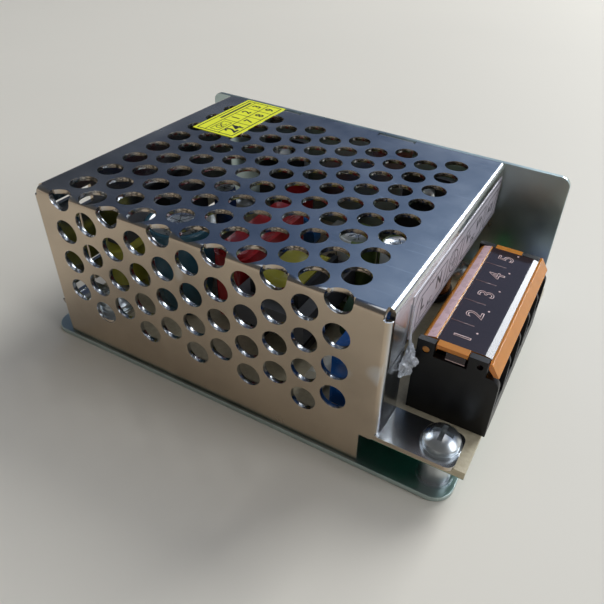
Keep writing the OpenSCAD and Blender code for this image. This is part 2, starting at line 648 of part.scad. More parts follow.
module safety_capacitor() {
  color([0.10, 0.36, 0.66]) {
    translate([-9*kx, 12.5*ky + 1.5*ks, z_top + 4.8*ks + 0.4]) rotate([90, 0, 0])
      cylinder(r = 4.6*ks, h = 3*ks);
    for (s = [-1, 1]) lead(-9*kx + s*2.8*ks, 12.5*ky, z_top + 3);
  }
}
module inductor_core() {
  color([0.16, 0.16, 0.17]) translate([22.5*kx, 13.5*ky, z_top + 0.3]) {
    cylinder(r = 4.4*ks, h = 1.4);
    cylinder(r = 2.2*ks, h = 9.4*kz);
    translate([0, 0, 9.4*kz - 1.4]) cylinder(r = 4.4*ks, h = 1.4);
    for (s = [-1, 1]) translate([s*2.5*ks, 0, -0.3]) cylinder(r = 0.35, h = 1);
  }
}
module inductor_winding() {
  color([0.72, 0.36, 0.14]) translate([22.5*kx, 13.5*ky, z_top + 1.75]) difference() {
    cylinder(r = 4.0*ks, h = 9.4*kz - 2.9);
    translate([0, 0, -1]) cylinder(r = 2.25*ks, h = 12);
  }
}
// Axial body lying along Y
module axial(x, y, r, l) {
  z = z_top + r + 0.4;
  translate([x, y + l/2, z]) rotate([90, 0, 0]) cylinder(r = r, h = l);
  translate([x, y + l/2 + 1.3, z]) rotate([90, 0, 0]) cylinder(r = 0.3, h = l + 2.6);
  for (s = [-1, 1]) rod(x, y + s*(l/2 + 1.1), z_top, z + 0.25, 0.3);
}
module resistors() {
  color([0.55, 0.62, 0.66]) {
    axial(3.5*kx, 10.5*ky, 1.2*ks, 6.5*ks);
    axial(-26*kx, -1.5*ky, 1.2*ks, 5*ks);
    axial(6.8*kx, 18.5*ky, 1.2*ks, 6.5*ks);
  }
}
module small_diodes() {
  color([0.10, 0.10, 0.11]) {
    axial(-16*kx, 12.3*ky, 1.3*ks, 4.6*ks);
    axial(-0.5*kx, 10*ky, 1.0*ks, 4*ks);
  }
}
module regulator() {
  x = 10.5*kx; y = 13.5*ky;
  color([0.07, 0.07, 0.08]) {
    difference() {
      rod(x, y, z_top + 3, z_top + 7.6, 2.4*ks);
      box([x - 4, y - 4, z_top], [x + 4, y - 1.2*ks, z_top + 10]);
    }
    for (s = [-1, 0, 1]) rod(x + s*1.27*ks, y, z_top, z_top + 3.5, 0.25);
  }
}
led_x = bx0 + 1;
led_y = (by1 + wall_in)/2;
module status_led() {
  color([0.25, 0.85, 0.35, 0.8]) {
    rod(led_x, led_y, z_top + 1.2, z_top + 2.2, 1.8);
    rod(led_x, led_y, z_top + 1.2, z_top + 4.2, 1.5);
    translate([led_x, led_y, z_top + 4.2]) sphere(r = 1.5);
    for (s = [-1, 1]) rod(led_x + s*0.9, led_y, z_top, z_top + 1.6, 0.25);
  }
}
tr_w = min(6, wall_in - by1 - 0.9);
tr_x = bx0 + 9.4;
tr_y = by1 + 0.2 + tr_w/2;
tr_r = tr_w*0.33;
module trimmer_body() {
  color([0.10, 0.30, 0.62]) difference() {
    union() {
      box([tr_x - tr_w/2, tr_y - tr_w/2, z_top + 0.4], [tr_x + tr_w/2, tr_y + tr_w/2, z_top + 4]);
      for (q = [[-1, -1], [1, -1], [0, 1]])
        rod(tr_x + q[0]*tr_w*0.35, tr_y + q[1]*tr_w*0.35, z_top, z_top + 1, 0.3);
    }
    rod(tr_x, tr_y, z_top + 1.9, z_top + 8, tr_r + 0.05);
  }
}
module trimmer_rotor() {
  color([0.92, 0.92, 0.90]) difference() {
    rod(tr_x, tr_y, z_top + 2, z_top + 4.4, tr_r);
    cross(tr_x, tr_y, z_top + 4.4, tr_r*1.5, 0.5, 1.0);
  }
}

base_chassis();
standoffs();
mesh_cover();
cover_screws();
cover_washers();
board_screws();
circuit_board();
solder_joints();
terminal_body();
terminal_contacts();
terminal_lid();
clamp_plate_1();
clamp_plate_2();
clamp_plate_3();
clamp_plate_4();
clamp_plate_5();
terminal_screw_1();
terminal_screw_2();
terminal_screw_3();
terminal_screw_4();
terminal_screw_5();
hot_glue();
top_label();
terminal_label();
bulk_capacitor();
output_capacitors();
aux_capacitor();
transformer_core();
transformer_bobbin();
transformer_winding();
choke_core();
choke_winding();
film_capacitor();
snubber_capacitor();
mains_capacitor();
fuse();
thermistor();
bridge_rectifier();
switch_transistor();
output_rectifier();
insulating_pads();
transistor_screws();
controller_chip();
optocoupler();
safety_capacitor();
inductor_core();
inductor_winding();
resistors();
small_diodes();
regulator();
status_led();
trimmer_body();
trimmer_rotor();
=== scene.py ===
import json
import math

import bmesh
import bpy
from mathutils import Matrix, Vector, noise


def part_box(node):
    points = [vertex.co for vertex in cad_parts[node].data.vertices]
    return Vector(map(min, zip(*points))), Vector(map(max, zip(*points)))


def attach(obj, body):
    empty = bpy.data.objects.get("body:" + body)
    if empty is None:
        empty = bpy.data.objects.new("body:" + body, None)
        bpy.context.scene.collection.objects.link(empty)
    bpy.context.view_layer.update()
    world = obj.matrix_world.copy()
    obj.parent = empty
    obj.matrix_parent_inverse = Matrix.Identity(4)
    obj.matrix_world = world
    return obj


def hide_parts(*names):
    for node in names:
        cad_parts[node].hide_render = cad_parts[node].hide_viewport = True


# Mesh case power supply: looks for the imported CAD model, in metres.

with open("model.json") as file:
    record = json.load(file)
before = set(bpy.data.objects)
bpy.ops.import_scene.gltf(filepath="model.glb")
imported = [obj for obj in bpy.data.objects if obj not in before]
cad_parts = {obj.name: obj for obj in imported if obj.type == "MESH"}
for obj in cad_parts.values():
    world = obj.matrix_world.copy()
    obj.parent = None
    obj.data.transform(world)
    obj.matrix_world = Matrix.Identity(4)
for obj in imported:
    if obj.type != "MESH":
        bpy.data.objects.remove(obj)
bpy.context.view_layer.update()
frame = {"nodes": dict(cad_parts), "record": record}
nodes = frame["nodes"]
scene = bpy.context.scene
MM = 0.001


# ---------- node helpers ----------
def new_material(name):
    """An empty node material, with its Principled shader and a short way to add and join nodes."""
    mat = bpy.data.materials.new(name)
    mat.use_nodes = True
    tree = mat.node_tree
    shader = tree.nodes["Principled BSDF"]

    def add(kind, **values):
        node = tree.nodes.new(kind)
        for key, value in values.items():
            if key in node.inputs:
                node.inputs[key].default_value = value
            else:
                setattr(node, key, value)
        return node

    return mat, tree, shader, add


def noise_node(tree, add, scale, detail=4, stretch=(1, 1, 1), rough=0.55):
    """Noise in the part's own metres, stretched along an axis if asked."""
    coord = add("ShaderNodeTexCoord")
    mapping = add("ShaderNodeMapping")
    mapping.inputs["Scale"].default_value = stretch
    tex = add("ShaderNodeTexNoise", Scale=scale, Detail=detail, Roughness=rough)
    tree.links.new(coord.outputs["Object"], mapping.inputs["Vector"])
    tree.links.new(mapping.outputs["Vector"], tex.inputs["Vector"])
    return tex


def ramp(tree, add, source, stops):
    node = add("ShaderNodeValToRGB")
    elements = node.color_ramp.elements
    while len(elements) < len(stops):
        elements.new(0.5)
    for element, (place, value) in zip(elements, stops):
        element.position = place
        element.color = value if len(value) == 4 else (*value, 1)
    tree.links.new(source, node.inputs["Fac"])
    return node


def grey(value):
    return (value, value, value, 1)


def tint(colour, factor):
    return tuple(min(1.0, c * factor) for c in colour[:3]) + (1,)


def bump(tree, add, shader, source, depth, strength=1.0):
    node = add("ShaderNodeBump", Strength=strength, Distance=depth)
    tree.links.new(source, node.inputs["Height"])
    tree.links.new(node.outputs["Normal"], shader.inputs["Normal"])
    return node


def surface(name, colour, rough=(0.3, 0.45), metal=0.0, vary=0.12, scale=900, fine=5200, depth=4e-6,
            stretch=(1, 1, 1), **sockets):
    """A general finish: mottled colour, uneven roughness and a fine bump."""
    mat, tree, shader, add = new_material(name)
    broad = noise_node(tree, add, scale, 3, stretch)
    close = noise_node(tree, add, fine, 5, stretch)
    shade = ramp(tree, add, broad.outputs["Fac"],
                 [(0.3, tint(colour, 1 - vary)), (0.7, tint(colour, 1 + vary * 0.6))])
    tree.links.new(shade.outputs["Color"], shader.inputs["Base Color"])
    dull = ramp(tree, add, broad.outputs["Fac"], [(0.25, grey(rough[0])), (0.75, grey(rough[1]))])
    tree.links.new(dull.outputs["Color"], shader.inputs["Roughness"])
    bump(tree, add, shader, close.outputs["Fac"], depth)
    shader.inputs["Metallic"].default_value = metal
    for socket, value in sockets.items():
        shader.inputs[socket.replace("_", " ")].default_value = value
    return mat


def sheet_metal(name, colour, rough, lines=(1, 1, 1), grain=1.0, front_reflection_tint=None):
    """Plated sheet steel: rolling lines, smudges, hair scratches and, if asked, a painted warm floor
    reflection and shade tinting the faces turned to -Y.
    """
    mat, tree, shader, add = new_material(name)
    smudge = noise_node(tree, add, 95, 4, rough=0.6)
    rolled = noise_node(tree, add, 1500, 3, lines)
    hair = noise_node(tree, add, 700, 2, (0.08, 2.4, 0.08))
    cloud = ramp(tree, add, smudge.outputs["Fac"],
                 [(0.30, grey(0.86)), (0.55, grey(1.0)), (0.75, grey(1.06))])
    base = add("ShaderNodeMixRGB", Fac=0.0)
    base.inputs[1].default_value = (*colour, 1)
    base.inputs[2].default_value = (*(front_reflection_tint or colour), 1)
    # faces turned to -Y take the painted floor-reflection colour, more the more squarely they face -Y
    if front_reflection_tint:
        coord = add("ShaderNodeTexCoord")
        split = add("ShaderNodeSeparateXYZ")
        tree.links.new(coord.outputs["Normal"], split.inputs["Vector"])
        front_reflection_mask = add("ShaderNodeMapRange")
        front_reflection_mask.inputs["From Min"].default_value = -0.35
        front_reflection_mask.inputs["From Max"].default_value = -0.95
        tree.links.new(split.outputs["Y"], front_reflection_mask.inputs["Value"])
        tree.links.new(front_reflection_mask.outputs["Result"], base.inputs["Fac"])
    shade = add("ShaderNodeMixRGB", blend_type="MULTIPLY", Fac=1.0)
    tree.links.new(base.outputs["Color"], shade.inputs[1])
    tree.links.new(cloud.outputs["Color"], shade.inputs[2])
    scratch = ramp(tree, add, hair.outputs["Fac"], [(0.66, grey(0)), (0.70, grey(0.7))])
    worn = add("ShaderNodeMixRGB", Fac=0.0)
    tree.links.new(scratch.outputs["Color"], worn.inputs["Fac"])
    tree.links.new(shade.outputs["Color"], worn.inputs[1])
    worn.inputs[2].default_value = tint(colour, 1.15)
    tree.links.new(worn.outputs["Color"], shader.inputs["Base Color"])
    dull = ramp(tree, add, smudge.outputs["Fac"], [(0.25, grey(rough[0])), (0.8, grey(rough[1]))])
    tree.links.new(dull.outputs["Color"], shader.inputs["Roughness"])
    bump(tree, add, shader, rolled.outputs["Fac"], 1.2e-6 * grain, 0.6)
    shader.inputs["Metallic"].default_value = 1.0
    return mat


def board_material():
    """Beige laminate on top and at the cut edges, green solder resist underneath."""
    mat, tree, shader, add = new_material("board_laminate_look")
    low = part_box("circuit_board")[0].z
    speck = noise_node(tree, add, 1400, 5)
    top = ramp(tree, add, speck.outputs["Fac"], [(0.3, (0.46, 0.39, 0.26)), (0.7, (0.58, 0.51, 0.36))])
    under = ramp(tree, add, speck.outputs["Fac"], [(0.3, (0.01, 0.15, 0.10)), (0.7, (0.02, 0.25, 0.17))])
    coord = add("ShaderNodeTexCoord")
    split = add("ShaderNodeSeparateXYZ")
    tree.links.new(coord.outputs["Object"], split.inputs["Vector"])
    above = add("ShaderNodeMath", operation="GREATER_THAN")
    above.inputs[1].default_value = low + 0.08 * MM
    tree.links.new(split.outputs["Z"], above.inputs[0])
    mix = add("ShaderNodeMixRGB")
    tree.links.new(above.outputs[0], mix.inputs["Fac"])
    tree.links.new(under.outputs["Color"], mix.inputs[1])
    tree.links.new(top.outputs["Color"], mix.inputs[2])
    tree.links.new(mix.outputs["Color"], shader.inputs["Base Color"])
    dull = ramp(tree, add, speck.outputs["Fac"], [(0.3, grey(0.38)), (0.7, grey(0.52))])
    tree.links.new(dull.outputs["Color"], shader.inputs["Roughness"])
    bump(tree, add, shader, speck.outputs["Fac"], 5e-6)
    return mat


def clear_material(name, colour, rough, scale, depth, clear=0.85, ior=1.48):
    """Clear moulded plastic or glue, with swirls in its colour, gloss and surface."""
    mat, tree, shader, add = new_material(name)
    swirl = noise_node(tree, add, scale, 5)
    shade = ramp(tree, add, swirl.outputs["Fac"], [(0.3, tint(colour, 0.9)), (0.7, tint(colour, 1.05))])
    tree.links.new(shade.outputs["Color"], shader.inputs["Base Color"])
    dull = ramp(tree, add, swirl.outputs["Fac"], [(0.3, grey(rough[0])), (0.7, grey(rough[1]))])
    tree.links.new(dull.outputs["Color"], shader.inputs["Roughness"])
    bump(tree, add, shader, swirl.outputs["Fac"], depth)
    shader.inputs["Transmission Weight"].default_value = clear
    shader.inputs["IOR"].default_value = ior
    return mat


def led_material():
    mat, tree, shader, add = new_material("green_led_look")
    haze = noise_node(tree, add, 600, 3)
    shade = ramp(tree, add, haze.outputs["Fac"], [(0.3, (0.015, 0.16, 0.04)), (0.7, (0.03, 0.26, 0.07))])
    tree.links.new(shade.outputs["Color"], shader.inputs["Base Color"])
    tree.links.new(shade.outputs["Color"], shader.inputs["Emission Color"])
    shader.inputs["Emission Strength"].default_value = 0.15
    shader.inputs["Roughness"].default_value = 0.18
    shader.inputs["Transmission Weight"].default_value = 0.4
    return mat


# ---------- finishes by record slot ----------
looks = {
    "base_steel": sheet_metal("base_steel_look", (0.50, 0.60, 0.59), (0.24, 0.44), (1, 0.05, 1), 2.0),
    "zinc_steel": sheet_metal("zinc_steel_look", (0.62, 0.64, 0.66), (0.24, 0.38), (1, 1, 0.1)),
    # cover steel's second colour is a painted warm floor reflection and shade on the faces turned to -Y
    "cover_steel": sheet_metal("cover_steel_look", (0.60, 0.62, 0.64), (0.17, 0.29), (0.05, 1, 1), 1.0,
                               (0.55, 0.45, 0.345)),
    "zinc_screw": sheet_metal("zinc_screw_look", (0.72, 0.76, 0.78), (0.24, 0.38), (1, 1, 1), 6.0),
    "board_laminate": board_material(),
    "solder": surface("solder_look", (0.72, 0.73, 0.74), (0.18, 0.34), 1.0, 0.1, 900, 4000, 6e-6),
    "black_plastic": surface("black_plastic_look", (0.006, 0.006, 0.007), (0.30, 0.44), 0, 0.3, 420,
                             6000, 3e-6, Specular_IOR_Level=0.3),
    "nickel_plate": surface("nickel_plate_look", (0.76, 0.74, 0.68), (0.14, 0.30), 1.0, 0.1, 700, 5000,
                            2e-6),
    "amber_plastic": clear_material("amber_plastic_look", (0.86, 0.34, 0.05), (0.06, 0.16), 420, 1e-5,
                                    0.45, 1.5),
    "clear_glue": clear_material("clear_glue_look", (0.84, 0.87, 0.92), (0.05, 0.14), 1500, 2e-5, 0.7),
    "yellow_label": surface("yellow_label_look", (0.84, 0.86, 0.03), (0.42, 0.55), 0, 0.05, 300, 7000,
                            3e-6),
    "clear_label": surface("clear_label_look", (0.44, 0.41, 0.46), (0.24, 0.36), 0, 0.06, 200, 2600, 4e-6),
    "teal_sleeve": surface("teal_sleeve_look", (0.02, 0.07, 0.10), (0.16, 0.28), 0, 0.15, 300, 3000, 2e-6),
    "green_sleeve": surface("green_sleeve_look", (0.12, 0.17, 0.05), (0.16, 0.28), 0, 0.15, 300, 3000,
                            2e-6),
    "blue_sleeve": surface("blue_sleeve_look", (0.02, 0.04, 0.12), (0.16, 0.28), 0, 0.15, 300, 3000, 2e-6),
    "ferrite": surface("ferrite_look", (0.055, 0.055, 0.06), (0.45, 0.62), 0, 0.25, 800, 5200, 1.2e-5),
    "yellow_tape": surface("yellow_tape_look", (0.26, 0.24, 0.03), (0.14, 0.26), 0, 0.18, 240, 2400, 6e-6),
    "red_dip": surface("red_dip_look", (0.24, 0.010, 0.012), (0.10, 0.20), 0, 0.25, 260, 1500, 1e-5),
    "blue_box": surface("blue_box_look", (0.01, 0.11, 0.42), (0.20, 0.32), 0, 0.12, 380, 5200, 3e-6),
    "ceramic": surface("ceramic_look", (0.58, 0.55, 0.47), (0.40, 0.56), 0, 0.08, 800, 5200, 6e-6),
    "green_disc": surface("green_disc_look", (0.02, 0.07, 0.035), (0.38, 0.5), 0, 0.2, 600, 3000, 1.2e-5),
    "black_epoxy": surface("black_epoxy_look", (0.016, 0.016, 0.018), (0.42, 0.58), 0, 0.3, 900, 7000,
                           6e-6),
    "grey_pad": surface("grey_pad_look", (0.40, 0.42, 0.46), (0.55, 0.7), 0, 0.1, 900, 6000, 6e-6),
    "white_epoxy": surface("white_epoxy_look", (0.66, 0.66, 0.62), (0.35, 0.5), 0, 0.05, 900, 6000, 4e-6),
    "blue_dip": surface("blue_dip_look", (0.012, 0.12, 0.36), (0.12, 0.22), 0, 0.2, 300, 1800, 1e-5),
    "copper": surface("copper_look", (0.62, 0.24, 0.08), (0.2, 0.32), 1.0, 0.2, 500, 4200, 8e-6, (1, 1, 6)),
    "resistor_body": surface("resistor_body_look", (0.20, 0.30, 0.36), (0.25, 0.38), 0, 0.12, 700, 4200,
                             6e-6),
    "green_led": led_material(),
    "trimmer_blue": surface("trimmer_blue_look", (0.02, 0.06, 0.28), (0.3, 0.42), 0, 0.12, 700, 5200, 4e-6),
    "trimmer_white": surface("trimmer_white_look", (0.74, 0.74, 0.70), (0.34, 0.46), 0, 0.05, 700, 5200,
                             4e-6),
}
for part in frame["record"]["subparts"]:
    data = nodes[part["node"]].data
    data.materials.clear()
    data.materials.append(looks[part["material_slot"]])

aluminium = surface("aluminium_look", (0.80, 0.81, 0.82), (0.22, 0.36), 1.0, 0.08, 500, 6000, 3e-6)
ink = surface("ink_look", (0.015, 0.015, 0.02), (0.42, 0.55), 0, 0.3, 900, 6000, 2e-6)
smoky = clear_material("smoky_plate_look", (0.060, 0.036, 0.044), (0.03, 0.08), 260, 6e-6, 0.55, 1.5)
frosted = surface("frosted_amber_look", (0.56, 0.38, 0.40), (0.22, 0.34), 0, 0.12, 700, 3800, 8e-6)
# a pale colour that paints the highlight on raised moulded edges: the latch tabs' lower edges and the lid's
# numbers
moulded = surface("painted_edge_highlight_look", (0.74, 0.54, 0.52), (0.16, 0.28), 0, 0.15, 900, 5200, 4e-6)
faint = surface("faint_rib_look", (0.16, 0.10, 0.105), (0.12, 0.22), 0, 0.15, 900, 5200, 3e-6)
pale_stripe = surface("pale_stripe_look", (0.62, 0.66, 0.66), (0.2, 0.3), 0, 0.06, 500, 4200, 2e-6)


# ---------- pieces ----------
def add_piece(name, bm, materials, body, replaces=None, smooth=True):
    mesh = bpy.data.meshes.new(name)
    bm.to_mesh(mesh)
    bm.free()
    for material in materials:
        mesh.materials.append(material)
    for polygon in mesh.polygons:
        polygon.use_smooth = smooth
    piece = bpy.data.objects.new(name, mesh)
    scene.collection.objects.link(piece)
    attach(piece, body)
    if replaces:
        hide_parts(replaces)
    return piece


def text_mesh(bm, text, size, matrix, thick, line, material, weight):
    """Adds lettering to a bmesh, as a thin solid or as outline tubes. Sizes are in metres."""
    curve = bpy.data.curves.new("lettering", "FONT")
    curve.body = text
    curve.size = size
    curve.align_x = "CENTER"
    curve.align_y = "CENTER"
    curve.extrude = thick
    curve.offset = weight
    curve.resolution_u = 5
    if line:
        curve.fill_mode = "NONE"
        curve.bevel_depth = line
        curve.bevel_resolution = 1
    holder = bpy.data.objects.new("lettering", curve)
    scene.collection.objects.link(holder)
    bpy.context.view_layer.update()
    mesh = bpy.data.meshes.new_from_object(holder.evaluated_get(bpy.context.evaluated_depsgraph_get()))
    mesh.transform(matrix)
    for polygon in mesh.polygons:
        polygon.material_index = material
    bm.from_mesh(mesh)
    bpy.data.objects.remove(holder)
    bpy.data.curves.remove(curve)
    bpy.data.meshes.remove(mesh)


def slab(bm, low, high, material=0):
    """A box between two corners given in millimetres."""
    low, high = Vector(low) * MM, Vector(high) * MM
    made = bmesh.ops.create_cube(bm, size=1.0)
    centre, extent = (low + high) / 2, high - low
    for vertex in made["verts"]:
        vertex.co = Vector(vertex.co[i] * extent[i] + centre[i] for i in range(3))
    for face in {f for v in made["verts"] for f in v.link_faces}:
        face.material_index = material


def facing(right, up, place):
    """A matrix that stands lettering at a place in millimetres, with its right and up directions."""
    right, up = Vector(right), Vector(up)
    out = right.cross(up)
    basis = Matrix((right, up, out)).transposed().to_4x4()
    return Matrix.Translation(Vector(place) * MM) @ basis


def round_edges(piece, width, angle, flat_within):
    """Rounds the edges sharper than an angle, and keeps the flats between them shaded flat."""
    rounding = piece.modifiers.new("edge", "BEVEL")
    rounding.width = width * MM
    rounding.segments = 2
    rounding.limit_method = "ANGLE"
    rounding.angle_limit = math.radians(angle)
    flat = piece.modifiers.new("flat", "WEIGHTED_NORMAL")
    flat.weight = 100
    flat.thresh = flat_within


def edged_copy(node, width, name):
    """A copy of a node with its sharp edges rounded off, in millimetres, which stands for the node."""
    bm = bmesh.new()
    bm.from_mesh(nodes[node].data)
    bmesh.ops.remove_doubles(bm, verts=bm.verts, dist=2e-6)
    bmesh.ops.dissolve_limit(bm, angle_limit=math.radians(0.6), verts=bm.verts, edges=bm.edges)
    piece = add_piece(name, bm, list(nodes[node].data.materials), "case", node)
    round_edges(piece, width, 50, 0.001)


def prism(bm, outline, near, far, material_at):
    """An X-Z outline in millimetres, run along Y. material_at gives a face its material from its centre."""
    rings = [[bm.verts.new(Vector((x, y, z)) * MM) for x, z in outline] for y in (near, far)]
    faces = [bm.faces.new(rings[0]), bm.faces.new(reversed(rings[1]))]
    for i in range(len(outline)):
        j = (i + 1) % len(outline)
        faces.append(bm.faces.new((rings[0][j], rings[0][i], rings[1][i], rings[1][j])))
    bmesh.ops.recalc_face_normals(bm, faces=faces)
    for face in faces:
        face.material_index = material_at(face.calc_center_median() / MM)


def lathe(bm, profile, centre, steps=48, material_at=lambda radius, height, angle: 0):
    """A turned shape from (radius, height) points in millimetres, bottom to top, about a vertical axis."""
    rings = []
    for radius, height in profile:
        count = steps if radius > 0 else 1
        rings.append([bm.verts.new(Vector((centre[0] + radius * math.cos(2 * math.pi * i / steps),
                                           centre[1] + radius * math.sin(2 * math.pi * i / steps),
                                           height)) * MM) for i in range(count)])
    faces = []
    for (low, high), (below, above) in zip(zip(profile, profile[1:]), zip(rings, rings[1:])):
        for i in range(steps):
            j = (i + 1) % steps
            corners = [below[i % len(below)], below[j % len(below)], above[j % len(above)],
                       above[i % len(above)]]
            face = bm.faces.new(list(dict.fromkeys(corners)))
            face.material_index = material_at((low[0] + high[0]) / 2, (low[1] + high[1]) / 2, i / steps)
            faces.append(face)
    bmesh.ops.recalc_face_normals(bm, faces=faces)


def stroke(bm, matrix, start, end, width, thick=0.02, material=0):
    """A straight printed line between two points, in millimetres on the plane of a matrix."""
    start, end = Vector((*start, 0)), Vector((*end, 0))
    along = (end - start).normalized()
    across = Vector((-along.y, along.x, 0)) * width / 2
    start, end = start - along * width / 2, end + along * width / 2
    corners = [start - across, end - across, end + across, start + across]
    sides = [[bm.verts.new(matrix @ ((c + Vector((0, 0, z))) * MM)) for c in corners] for z in (0, thick)]
    faces = [bm.faces.new(sides[1]), bm.faces.new(reversed(sides[0]))]
    for i in range(4):
        j = (i + 1) % 4
        faces.append(bm.faces.new((sides[0][i], sides[0][j], sides[1][j], sides[1][i])))
    for face in faces:
        face.material_index = material


def outline(bm, matrix, points, width):
    """Printed lines from point to point and back to the first."""
    for start, end in zip(points, points[1:] + points[:1]):
        stroke(bm, matrix, start, end, width)


def words(bm, matrix, text, place, size, thick=0.012, line=0.0, material=0, weight=0.0):
    """Lettering centred on a place in millimetres on the plane of a matrix."""
    text_mesh(bm, text, size * MM, matrix @ Matrix.Translation(Vector((*place, 0.012)) * MM),
              thick * MM, line * MM, material, weight * MM)


def box_mm(node):
    low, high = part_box(node)
    return Vector(low) / MM, Vector(high) / MM


slot_of = {part["node"]: part["material_slot"] for part in frame["record"]["subparts"]}


# ---------- case ----------
edged_copy("mesh_cover", 0.10, "cover_with_rolled_edges")
edged_copy("base_chassis", 0.14, "base_with_rolled_edges")
edged_copy("terminal_body", 0.12, "block_with_soft_edges")


# ---------- printed labels ----------
def sticker_print():
    """The yellow sticker's ruled grid: a header, a wide left column, and three columns of numbers."""
    low, high = box_mm("top_label")
    sheet = facing((0, 1, 0), (-1, 0, 0), (low.x, low.y, high.z))
    width, height = high.y - low.y, high.x - low.x
    margin, header, split = 0.7, 2.6, 0.36 * width
    border, rule, fine = 0.22, 0.16, 0.14
    digit, bold = 2.8, 0.05
    row = (height - header - margin) / 2
    column = (width - margin - split) / 3
    bm = bmesh.new()
    outline(bm, sheet, [(margin, -margin), (width - margin, -margin), (width - margin, margin - height),
                        (margin, margin - height)], border)
    stroke(bm, sheet, (margin, -header), (width - margin, -header), rule)
    stroke(bm, sheet, (margin, -header - row), (width - margin, -header - row), rule)
    for i in range(3):
        stroke(bm, sheet, (split + i * column, -header), (split + i * column, margin - height), rule)
    for i in range(3):
        middle = split + (i + 0.5) * column
        words(bm, sheet, str(1 + i), (middle, -header - row / 2), digit, weight=bold)
        words(bm, sheet, str(7 + i), (middle, -header - row * 1.5), digit, weight=bold)
    words(bm, sheet, "24", (split / 2 + 0.4, -header - row * 1.5), 3.9, weight=0.06)
    box_top, box_foot = -header - 0.7, 0.7 - header - row
    outline(bm, sheet, [(1.6, box_top), (split - 0.9, box_top), (split - 0.9, box_foot),
                        (1.6, box_foot)], fine)
    words(bm, sheet, "QC", (split / 2 + 0.35, -header - row / 2), 1.9)
    dashes, dash, spacing, dash_line = 7, 1.1, 1.65, -1.65
    for i in range(dashes):
        start = split + 0.4 + i * spacing
        stroke(bm, sheet, (start, dash_line), (start + dash, dash_line), 0.5)
    add_piece("sticker_print", bm, [ink], "case", smooth=False)


def lip_print():
    """The terminal markings on the clear film: slanted cells round L, N, earth, V- and V+."""
    low, high = box_mm("terminal_label")
    film = facing((0, 1, 0), (0, 0, 1), (high.x, 0, low.z))
    height = high.z - low.z
    thin = 0.21
    bm = bmesh.new()
    outline(bm, film, [(low.y + 0.5, 0.4), (low.y + 0.5, height - 2.2), (low.y + 2.0, height - 0.6),
                       (high.y - 0.6, height - 0.6), (high.y - 0.6, 0.4)], thin)
    cells = [(-18.0, -5.6), (-3.9, 2.3), (4.0, 16.2), (17.6, 24.6)]
    for start, end in cells:
        outline(bm, film, [(start, 1.1), (start + 0.5, height - 3.2), (start + 1.6, height - 2.1),
                           (end + 0.9, height - 2.1), (end - 0.4, 1.1)], thin)
    for mark, place, size in (("L", -15.6, 3.4), ("N", -8.3, 3.4), ("V-", 7.2, 3.1), ("V+", 13.6, 3.1)):
        words(bm, film, mark, (place, height * 0.5), size, weight=0.05)
    words(bm, film, "AC", (-12.2, height * 0.27), 1.7)
    words(bm, film, "DC", (10.4, height * 0.27), 1.7)
    words(bm, film, "ADJ", (21.1, height * 0.45), 2.2)
    earth, radius = Vector((-0.75, height * 0.44)), 2.0
    ring = [(earth.x + radius * math.cos(i * math.pi / 12), earth.y + radius * math.sin(i * math.pi / 12))
            for i in range(24)]
    outline(bm, film, ring, 0.2)
    stroke(bm, film, (earth.x, earth.y + 1.3), (earth.x, earth.y), 0.22)
    for i, reach in enumerate((1.2, 0.8, 0.4)):
        stroke(bm, film, (earth.x - reach, earth.y - 0.5 * i), (earth.x + reach, earth.y - 0.5 * i), 0.2)
    add_piece("lip_print", bm, [ink], "case", smooth=False)


sticker_print()
lip_print()


